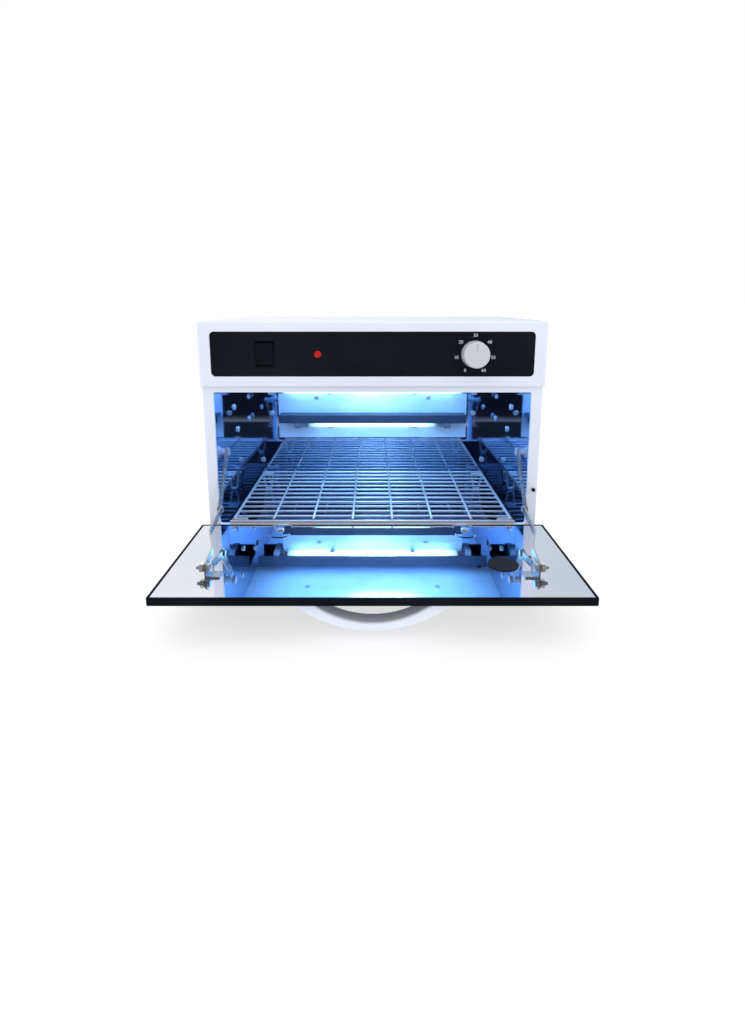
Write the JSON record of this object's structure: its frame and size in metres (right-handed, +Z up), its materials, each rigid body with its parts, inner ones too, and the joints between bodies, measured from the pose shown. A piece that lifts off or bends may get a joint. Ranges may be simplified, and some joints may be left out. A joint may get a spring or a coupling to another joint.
{
  "type": "uv sterilizer cabinet",
  "caption": "Countertop ultraviolet sterilizer cabinet with a drop-down mirror door on folding stays, a polished chamber with tube lamps, a wire rack and a control head.",
  "frame": {"origin": "on the table, at the centre of the box that the cabinet fills with its door open", "axes": "+Z up, +Y to the back, the door opens towards -Y, +X to the right seen from the front"},
  "size_m": [0.396, 0.4042, 0.284],
  "materials": {
    "white_paint": "satin powder coat",
    "white_plastic": "gloss",
    "dark_glass": "polished, tinted black",
    "polished_steel": "mirror polish",
    "satin_reflector": "satin",
    "black_plastic": "fine grain",
    "knob_plastic": "satin",
    "chrome_wire": "bright plated",
    "bright_screws": "bright plated",
    "stay_steel": "drawn grain",
    "lamp_glass": "lit ultraviolet tube",
    "cap_metal": "satin",
    "white_holder": "fine grain",
    "dark_paint": "satin",
    "rubber": "moulded",
    "core_steel": "varnished laminations",
    "inner_steel": "galvanised",
    "pin_brass": "plated",
    "red_lens": "translucent"
  },
  "bodies": {
    "cabinet": {"base_pan": "white_paint", "rubber_feet": "rubber", "left_side_panel": "white_paint", "right_side_panel": "white_paint", "back_cover": "white_paint", "front_frame": "white_paint", "frame_magnets": "core_steel", "liner_floor": "polished_steel", "liner_ceiling": "satin_reflector", "liner_back": "polished_steel", "liner_left": "polished_steel", "liner_right": "polished_steel", "liner_screws": "bright_screws", "cable_grommet": "rubber", "upper_lamp_tube": "lamp_glass", "lower_lamp_tube": "lamp_glass", "lamp_caps": "cap_metal", "lamp_holders": "white_holder", "lamp_hoods": "dark_paint", "lamp_reflector": "satin_reflector", "lamp_clips": "stay_steel", "hinge_tongues": "stay_steel", "stay_studs": "bright_screws", "door_switch": "black_plastic", "head_shell": "white_plastic", "head_glass": "dark_glass", "head_floor": "inner_steel", "indicator_lens": "red_lens", "timer_movement": "white_holder", "power_switch_body": "black_plastic", "ballasts": "core_steel", "starters": "cap_metal", "terminal_block": "white_holder", "mains_inlet": "black_plastic", "inlet_pins": "pin_brass", "cover_screws": "bright_screws"},
    "door": {"door_edging": "black_plastic", "door_outer_glass": "dark_glass", "door_core": "white_holder", "door_mirror": "polished_steel", "door_magnets": "core_steel", "hinge_pins": "bright_screws", "hinge_covers": "polished_steel", "hinge_cover_screws": "bright_screws", "door_pad": "rubber", "door_handle": "white_plastic", "handle_screws": "bright_screws", "left_stay_bracket": "stay_steel", "right_stay_bracket": "stay_steel", "stay_bolts": "bright_screws", "stay_nuts": "bright_screws"},
    "left_upper_link": {"left_stay_upper_link": "stay_steel"},
    "left_lower_link": {"left_stay_lower_link": "stay_steel"},
    "right_upper_link": {"right_stay_upper_link": "stay_steel"},
    "right_lower_link": {"right_stay_lower_link": "stay_steel"},
    "rack": {"wire_rack": "chrome_wire"},
    "switch_plunger": {"door_switch_plunger": "black_plastic"},
    "knob": {"timer_knob": "knob_plastic"},
    "rocker": {"power_rocker": "black_plastic"}
  },
  "joints": [
    {"name": "door_hinge", "type": "hinge", "parent": "cabinet", "child": "door", "pos_m": [0, -0.0374, 0.0465], "axis": [-1, 0, 0], "range_deg": [0, 90]},
    {"name": "left_upper_link_turn", "type": "hinge", "parent": "cabinet", "child": "left_upper_link", "pos_m": [-0.171, -0.0109, 0.131], "axis": [1, 0, 0], "range_deg": [0, 28.61]},
    {"name": "left_lower_link_turn", "type": "hinge", "parent": "door", "child": "left_lower_link", "pos_m": [-0.158, -0.1589, 0.058], "axis": [-1, 0, 0], "range_deg": [0, 8.29]},
    {"name": "right_upper_link_turn", "type": "hinge", "parent": "cabinet", "child": "right_upper_link", "pos_m": [0.171, -0.0109, 0.131], "axis": [1, 0, 0], "range_deg": [0, 28.61]},
    {"name": "right_lower_link_turn", "type": "hinge", "parent": "door", "child": "right_lower_link", "pos_m": [0.158, -0.1589, 0.058], "axis": [-1, 0, 0], "range_deg": [0, 8.29]},
    {"name": "switch_plunger_travel", "type": "slide", "parent": "cabinet", "child": "switch_plunger", "axis": [0, 1, 0], "range_m": [0, 0.002]},
    {"name": "rack_lift", "type": "slide", "parent": "cabinet", "child": "rack", "axis": [0, 0, 1], "range_m": [0, 0.04]},
    {"name": "timer_turn", "type": "hinge", "parent": "cabinet", "child": "knob", "pos_m": [0.112, -0.0364, 0.248], "axis": [0, 1, 0], "range_deg": [0, 300]},
    {"name": "power_rocker_tilt", "type": "hinge", "parent": "cabinet", "child": "rocker", "pos_m": [-0.118, -0.0334, 0.248], "axis": [-1, 0, 0], "range_deg": [0, 11]}
  ],
  "couplings": [
    {"joint": "left_upper_link_turn", "follows": "door_hinge", "ratio": 0.31783},
    {"joint": "left_lower_link_turn", "follows": "door_hinge", "ratio": 0.092128},
    {"joint": "right_upper_link_turn", "follows": "door_hinge", "ratio": 0.31783},
    {"joint": "right_lower_link_turn", "follows": "door_hinge", "ratio": 0.092128},
    {"joint": "switch_plunger_travel", "follows": "door_hinge", "m_per_rad": 0.0012731}
  ]
}
